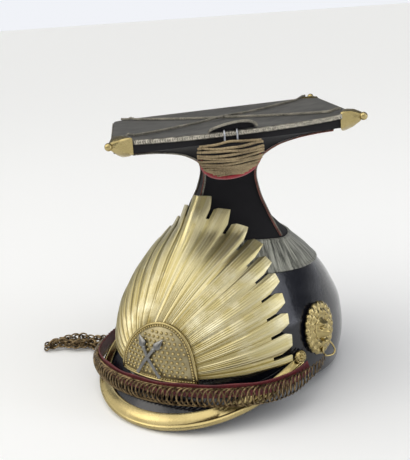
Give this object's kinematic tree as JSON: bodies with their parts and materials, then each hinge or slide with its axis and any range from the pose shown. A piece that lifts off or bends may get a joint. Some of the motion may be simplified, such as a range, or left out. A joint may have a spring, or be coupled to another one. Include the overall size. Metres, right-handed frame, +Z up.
{
  "type": "lancer cap",
  "caption": "Military czapka: leather skull with a brass-rimmed visor, waisted cloth tower with a square board, sunburst plate, chin chain, lion-head bosses and a plume cockade.",
  "frame": {"origin": "on the surface the cap rests on, under the middle of its bounding box", "axes": "+Z up as the cap rests, +X to the wearer's left, -Y to the front, where the visor is"},
  "size_m": [0.3284, 0.2804, 0.2429],
  "materials": {
    "patent_leather": "black patent leather, glossy, worn",
    "inner_leather": "brown leather, flesh side",
    "top_leather": "black leather, dull and greyed",
    "tower_cloth": "black wool cloth",
    "plate_brass": "stamped brass, pale and worn",
    "white_metal": "white metal, dulled",
    "silver_braid": "tarnished silver lace and cord",
    "ridge_piping": "doubled cord, faded",
    "red_cloth": "crimson cloth",
    "strap_leather": "burgundy leather",
    "cockade_cord": "old silver cord, tanned with age",
    "chain_bronze": "brass chain, browned"
  },
  "bodies": {
    "root": {"skull": "patent_leather", "crown": "inner_leather", "tower": "tower_cloth", "top_board": "top_leather", "top_cross_cords": "silver_braid", "edge_braid": "silver_braid", "band_galloon": "silver_braid", "cockade": "cockade_cord", "cockade_backing": "red_cloth", "plume_pocket": "top_leather", "sun_plate": "plate_brass", "medallion": "plate_brass", "lances": "white_metal", "corner_front": "plate_brass", "corner_left": "plate_brass", "corner_back": "plate_brass", "piping_front": "ridge_piping", "piping_left": "ridge_piping", "piping_back": "ridge_piping", "piping_right": "ridge_piping", "lion_boss_left": "plate_brass", "lion_boss_right": "plate_brass", "boss_ring_left": "chain_bronze", "boss_ring_right": "chain_bronze", "visor": "patent_leather", "visor_rim": "plate_brass", "rim_stud_left": "plate_brass", "rim_stud_right": "plate_brass", "chin_chain": "chain_bronze", "chin_strap": "strap_leather", "chain_tail": "chain_bronze"}
  },
  "joints": []
}
